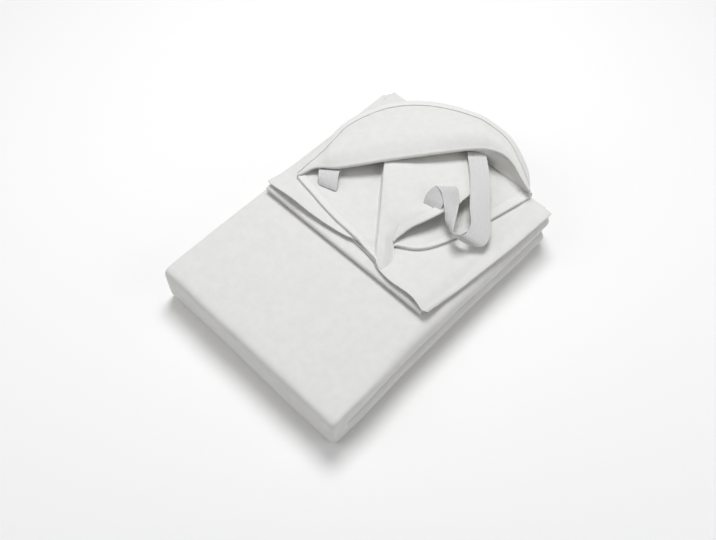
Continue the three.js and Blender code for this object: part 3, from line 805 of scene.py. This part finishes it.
def tape_line(edge, inner, normal_edge, normal_inner, gap):
    """The tape's middle line across: over the cloth, round its edge and back under it."""
    rise = SHEET / 2 + gap + TAPE_THICKNESS / 2
    out = (edge - inner).normalized()
    reach = gap + TAPE_THICKNESS / 2
    line = []
    for t in even(10):
        groove = GROOVE_DEPTH * math.exp(-(((t - STITCH_SHARE) / 0.07) ** 2))
        line.append(inner.lerp(edge, t) + normal_inner.lerp(normal_edge, t) * (rise - groove))
    for angle in even(6, 0, math.pi)[1:-1]:
        bow = out * (reach * math.sin(angle) ** 0.7)
        line.append(edge + bow + normal_edge * (rise * math.cos(angle)))
    for t in even(5, 1, 0):
        line.append(inner.lerp(edge, t) - normal_inner.lerp(normal_edge, t) * rise)
    return line


def edge_tape(name, places, gap):
    """places gives (edge, inner, edge normal, inner normal) at each station along the edge."""
    lines = [tape_line(*p, gap) for p in places]
    count = len(lines[0])
    mesh = bmesh.new()
    length = sum((p[0] - q[0]).length for p, q in zip(places, places[1:]))
    size = (2 * TAPE_WIDTH, length)
    lay_grid(mesh, range(count), range(len(lines)), lambda i, j: lines[j][i], uv_size=size)
    piece_name = name.replace("edge", "hem")
    piece = finish_piece(mesh, piece_name, TAPE_THICKNESS, tape_cotton)
    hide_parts(name)
    return piece, length, lines


# Elastic straps, with a place on the left and on the right edge in each row
LONG_STRAP = (
    (161.5, 254, 84.8, 183.5, 257, 84.6),
    (159.8, 259, 91, 181.4, 265, 91.2),
    (160.5, 267, 97, 180, 279, 96.5),
    (163.5, 272.5, 99.2, 179.5, 287.5, 98.8),
    (170, 272, 98.6, 184.5, 287, 97.6),
    (176, 269, 96, 190.3, 282.6, 93.6),
    (188.4, 259.1, 89, 197, 273, 89),
    (196, 253.2, 81, 206.8, 255, 90.5),
    (211, 249, 74.5, 214.3, 242.8, 91),
    (224, 250.5, 72.4, 220.5, 245.5, 91),
    (236, 255, 72, 223.2, 250, 88),
    (242.5, 263, 72.4, 223.3, 257.5, 85.5),
    (238.5, 278, 73.6, 218.6, 270, 84.5),
    (220.5, 302, 78, 203, 287, 85),
    (200, 328, 82.5, 181, 315, 84.5),
    (184, 345, 83, 165, 332, 84),
    (166, 362, 80.5, 148, 349, 80.5),
)
SHORT_STRAP = (
    (69, 205, 70.4, 49, 198.5, 70.8),
    (68, 208.5, 73.4, 46.5, 200.5, 74.2),
    (63.5, 214.5, 76.6, 42.5, 203.5, 76.8),
    (58, 222, 78, 37.5, 209, 77),
    (54, 229, 75, 33, 213, 74),
)
STRAP_WIDTH = 24
LONG_STRAP_LENGTH = 240
SHORT_STRAP_LENGTH = 35
RIBS = 11
RIB_DEPTH = 0.16


def strap_surface(rows):
    """The strap's middle surface, found by the share of its width and of its length."""
    reach = [0.0]
    for p, q in zip(rows, rows[1:]):
        reach.append(reach[-1] + (math.dist(p[:3], q[:3]) + math.dist(p[3:], q[3:])) / 2)
    edges = table_curve([(s / reach[-1], *row) for s, row in zip(reach, rows)])

    def at(u, t):
        row = edges(clamp01(t))
        p = Vector(row[:3]).lerp(Vector(row[3:]), u)
        return Vector((p.x, p.y, p.z + drop(p.y)))

    return at


def elastic_strap(name, rows, length, stations):
    surface = strap_surface(rows)
    mesh = bmesh.new()

    def place(u, t):
        p = surface(u, t)
        step = 0.4 / stations
        n = (surface(0.6, t) - surface(0.4, t)).cross(surface(u, t + step) - surface(u, t - step))
        wave = RIB_DEPTH * math.cos(2 * math.pi * RIBS * u) * smooth(0, 0.04, min(u, 1 - u))
        return p + n.normalized() * wave

    lay_grid(mesh, even(RIBS * 6), even(stations), place, uv_size=(STRAP_WIDTH, length))
    thickness = ELASTIC_THICKNESS - 2 * RIB_DEPTH
    piece_name = name.replace("elastic", "corner")
    piece = finish_piece(mesh, piece_name, thickness, ribbed_elastic)
    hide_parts(name)
    return piece


# Materials
def new_material(name, color, roughness, sheen, sheen_roughness):
    material = bpy.data.materials.new(name)
    material.use_nodes = True
    tree = material.node_tree
    shader = tree.nodes["Principled BSDF"]
    shader.inputs["Base Color"].default_value = (*color, 1)
    shader.inputs["Roughness"].default_value = roughness
    shader.inputs["Specular IOR Level"].default_value = 0.12
    shader.inputs["Sheen Weight"].default_value = sheen
    shader.inputs["Sheen Roughness"].default_value = sheen_roughness
    return material, tree, shader


def add_node(tree, kind, **values):
    node = tree.nodes.new(kind)
    for key, value in values.items():
        node.inputs[key].default_value = value
    return node


def noise_on(tree, scale, detail, roughness=0.55):
    place = add_node(tree, "ShaderNodeTexCoord")
    cloud = add_node(tree, "ShaderNodeTexNoise", Scale=scale, Detail=detail, Roughness=roughness)
    tree.links.new(place.outputs["Object"], cloud.inputs["Vector"])
    return cloud.outputs["Fac"]


def colour_between(tree, value, dark, light, low=0.35, high=0.65):
    ramp = add_node(tree, "ShaderNodeValToRGB")
    ramp.color_ramp.elements[0].position = low
    ramp.color_ramp.elements[0].color = (*dark, 1)
    ramp.color_ramp.elements[1].position = high
    ramp.color_ramp.elements[1].color = (*light, 1)
    tree.links.new(value, ramp.inputs["Fac"])
    return ramp.outputs["Color"]


def bump_from(tree, heights, shader):
    """heights is (value, strength, distance in metres), one bump after another."""
    normal = None
    for value, strength, distance in heights:
        bump = add_node(tree, "ShaderNodeBump", Strength=strength, Distance=distance)
        tree.links.new(value, bump.inputs["Height"])
        if normal:
            tree.links.new(normal, bump.inputs["Normal"])
        normal = bump.outputs["Normal"]
    tree.links.new(normal, shader.inputs["Normal"])


def make_flannel():
    material, tree, shader = new_material("brushed_flannel", (0.74, 0.735, 0.7), 0.95, 0.2, 0.6)
    mottle = noise_on(tree, 110, 4)
    colour = colour_between(tree, mottle, (0.722, 0.717, 0.684), (0.752, 0.747, 0.712))
    tree.links.new(colour, shader.inputs["Base Color"])
    pile = noise_on(tree, 2600, 2, 0.7)
    nap = noise_on(tree, 420, 3, 0.6)
    bump_from(tree, [(nap, 0.14, 0.0005), (pile, 0.25, 0.0002)], shader)
    return material


def weft_on_uv(tree, scale):
    """The weave's ridges across a tape or strap, one after another along it."""
    place = add_node(tree, "ShaderNodeUVMap")
    wave = add_node(tree, "ShaderNodeTexWave", Scale=scale, Distortion=0.0)
    wave.wave_type = "BANDS"
    wave.bands_direction = "Y"
    tree.links.new(place.outputs["UV"], wave.inputs["Vector"])
    return wave.outputs["Fac"]


def make_tape():
    material, tree, shader = new_material("edge_tape_cotton", (0.77, 0.765, 0.735), 0.82, 0.15, 0.5)
    weave = weft_on_uv(tree, 0.42)
    cloud = noise_on(tree, 500, 2)
    colour = colour_between(tree, cloud, (0.755, 0.75, 0.72), (0.79, 0.785, 0.755))
    tree.links.new(colour, shader.inputs["Base Color"])
    bump_from(tree, [(weave, 0.35, 0.00012), (cloud, 0.25, 0.0003)], shader)
    return material


def make_elastic():
    material, tree, shader = new_material("ribbed_elastic", (0.65, 0.647, 0.63), 0.62, 0.1, 0.5)
    picks = weft_on_uv(tree, 0.38)
    cloud = noise_on(tree, 700, 2)
    colour = colour_between(tree, cloud, (0.63, 0.627, 0.61), (0.67, 0.667, 0.65))
    tree.links.new(colour, shader.inputs["Base Color"])
    bump_from(tree, [(picks, 0.5, 0.00018), (cloud, 0.2, 0.0002)], shader)
    return material


def make_thread():
    material, tree, shader = new_material("sewing_thread", (0.82, 0.82, 0.82), 0.6, 0.0, 0.5)
    cloud = noise_on(tree, 1500, 2)
    colour = colour_between(tree, cloud, (0.79, 0.79, 0.78), (0.84, 0.84, 0.83))
    tree.links.new(colour, shader.inputs["Base Color"])
    bump_from(tree, [(cloud, 0.2, 0.0001)], shader)
    return material


flannel = make_flannel()
tape_cotton = make_tape()
ribbed_elastic = make_elastic()
thread = make_thread()

# The cloth
body = bmesh.new()
lay_grid(body, strip_section(), end_path(), pack_place)


def low_ply(k):
    return HALF_HEIGHT - ply_depth(k)


def high_ply(k):
    return HALF_HEIGHT + ply_depth(k)


def top_ply(k):
    return FIRST_SHEET_Z + k * SHEET_STEP


for left, right, z_top, z_low in (
    (6, PACK_WIDTH - 12, low_ply(2), low_ply(11)),
    (8, PACK_WIDTH - 10, high_ply(6), low_ply(1)),
    (5, PACK_WIDTH - 14, top_ply(0), high_ply(11)),
    (5, PACK_WIDTH - 12, top_ply(1), high_ply(10)),
    (30, PACK_WIDTH - 33, top_ply(2), high_ply(9)),
    (6, 232, top_ply(3), high_ply(8)),
    (9, 166, top_ply(4), high_ply(7)),
):
    far_turn(body, left, right, z_top, z_low)
front_roll(body)
right_fold(body)
left_fold(body)
hem_ply(body)
cover_ply(body)
corner_ply(body)
cloth = finish_piece(body, "flannel_protector", SHEET, flannel, rounding=0.5)
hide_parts("protector_cloth")

# Tapes and straps


def places_on(place, edge_of, inner_of, stations, da, db):
    out = []
    for s in stations:
        edge_at, inner_at = edge_of(s), inner_of(s)
        edge_n = square_to(place, *edge_at, da, db)
        inner_n = square_to(place, *inner_at, da, db)
        out.append((Vector(place(*edge_at)), Vector(place(*inner_at)), edge_n, inner_n))
    return out


def inside(low, high, v):
    return min(high, max(low, v))


# Where each tape shows along its edge
FRONT_TAPE_RUN = (0.002, 0.99)
RAISED_TAPE_RUN = (0.206, 0.64)
RIM_TAPE_RUN = (0.1, 0.985)
CORNER_TAPE_RUN = (-7.4, 261.5)

front_places = places_on(
    hem_place,
    lambda a: (a, 0.0),
    lambda a: (a, 0.05),
    even(78, *FRONT_TAPE_RUN),
    0.01,
    0.01,
)
raised_places = places_on(
    hem_place,
    lambda v: (2.0, v),
    lambda v: (2 - (1 - lobe_seam(v)) * (0.05 + 0.95 * smooth(0.2, 0.29, v)), v),
    even(70, *RAISED_TAPE_RUN),
    0.02,
    0.004,
)
rim_places = places_on(
    rim_place,
    lambda t: (1.0, t),
    lambda t: (1 - TAPE_WIDTH / 190, t),
    even(90, *RIM_TAPE_RUN),
    0.01,
    0.004,
)
corner_places = places_on(
    corner_place,
    lambda a: (3.0, a),
    lambda a: (2 + corner_seam(a), a),
    [inside(*CORNER_TAPE_RUN, a) for a in along_corner(120) if a <= 261.8],
    0.02,
    0.8,
)
tapes = {}
for name, places, gap in (
    ("front_edge_tape", front_places, SEAT_GAP),
    ("raised_edge_tape", raised_places, LOOSE_GAP),
    ("rim_edge_tape", rim_places, SEAT_GAP),
    ("corner_edge_tape", corner_places, LOOSE_GAP),
):
    tapes[name] = edge_tape(name, places, gap)

STITCH_PITCH = 3.3
STITCH_LENGTH = 2.5
THREAD_RADIUS = 0.24
THREAD_SUNK = 0.02


def stitch_row(mesh, path, lift):
    """Short stitches set end to end along a path that lies in the tape's groove."""
    due = STITCH_PITCH
    for p, q, up in zip(path, path[1:], lift):
        step = (q - p).length
        while due <= step:
            along = (q - p).normalized()
            side = up.cross(along).normalized()
            turn = Matrix((along, side, along.cross(side))).transposed().to_4x4()
            size = Matrix.Diagonal((STITCH_LENGTH / 2, THREAD_RADIUS, THREAD_RADIUS, 1))
            place = Matrix.Translation(p + along * due) @ turn @ size
            made = bmesh.ops.create_uvsphere(mesh, u_segments=6, v_segments=5, radius=1, matrix=place)
            for v in made["verts"]:
                v.co = lie(*v.co)
            due += STITCH_PITCH
        due -= step


def stitched_seam():
    """The thread that shows in the groove of every tape."""
    mesh = bmesh.new()
    for _, _, lines in tapes.values():
        lift = [(line[2] - line[-3]).normalized() for line in lines]
        sunk = TAPE_THICKNESS / 2 - THREAD_SUNK
        path = [line[2] + up * sunk for line, up in zip(lines, lift)]
        stitch_row(mesh, path, lift)
    piece = new_piece(mesh, "hem_stitches", thread)
    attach(piece, "root")
    return piece


seam = stitched_seam()
long_strap = elastic_strap("long_elastic_strap", LONG_STRAP, LONG_STRAP_LENGTH, 150)
short_strap = elastic_strap("short_elastic_strap", SHORT_STRAP, SHORT_STRAP_LENGTH, 36)

# Camera, floor and light
CAMERA_PLACE = Vector((486.495, -194.329, 820.774))
CAMERA_AIM = Vector((132.824, 177.101, 0.0))
SENSOR_WIDTH = 36
LENS = 40.741
FLOOR_REACH = 4

# Name, place in metres, disk size, watts and colour
LIGHTS = (
    ("window", (-0.35, 0.45, 1.6), 0.8, 19.8, (0.965, 0.97, 1.0)),
    ("left_fill", (-0.6, -0.9, 1.1), 1.2, 4.6, (0.97, 0.97, 1.0)),
    ("right_fill", (1.2, 0.35, 0.9), 1.2, 4, (0.97, 0.97, 1.0)),
)
ROOM_COLOUR = (0.965, 0.97, 1.0, 1)
ROOM_LIGHT = 0.24


def make_camera():
    data = bpy.data.cameras.new("camera")
    data.sensor_width = SENSOR_WIDTH
    data.lens = LENS
    camera = bpy.data.objects.new("camera", data)
    bpy.context.collection.objects.link(camera)
    camera.location = (CAMERA_PLACE - TO_MIDDLE) * MM
    camera.rotation_euler = (CAMERA_AIM - CAMERA_PLACE).to_track_quat("-Z", "Y").to_euler()
    data.clip_start = 0.05
    data.clip_end = 20
    bpy.context.scene.camera = camera


def make_floor():
    mesh = bmesh.new()
    bmesh.ops.create_grid(mesh, x_segments=2, y_segments=2, size=FLOOR_REACH)
    data = bpy.data.meshes.new("floor")
    mesh.to_mesh(data)
    mesh.free()
    floor = bpy.data.objects.new("floor", data)
    bpy.context.collection.objects.link(floor)
    material, _, _ = new_material("floor_paper", (0.96, 0.955, 0.93), 0.9, 0.0, 0.5)
    data.materials.append(material)


def make_light(name, place, size, power, color):
    """A soft disk of light, aimed at the middle of the pack's base."""
    data = bpy.data.lights.new(name, "AREA")
    data.shape = "DISK"
    data.size = size
    data.energy = power
    data.color = color
    light = bpy.data.objects.new(name, data)
    bpy.context.collection.objects.link(light)
    light.location = place
    aim_line = -Vector(place)
    light.rotation_euler = aim_line.to_track_quat("-Z", "Y").to_euler()


make_camera()
make_floor()
for light in LIGHTS:
    make_light(*light)
world = bpy.data.worlds.new("studio")
world.use_nodes = True
world.node_tree.nodes["Background"].inputs["Color"].default_value = ROOM_COLOUR
world.node_tree.nodes["Background"].inputs["Strength"].default_value = ROOM_LIGHT
bpy.context.scene.world = world
bpy.context.scene.view_settings.view_transform = "Standard"

bpy.context.view_layer.update()
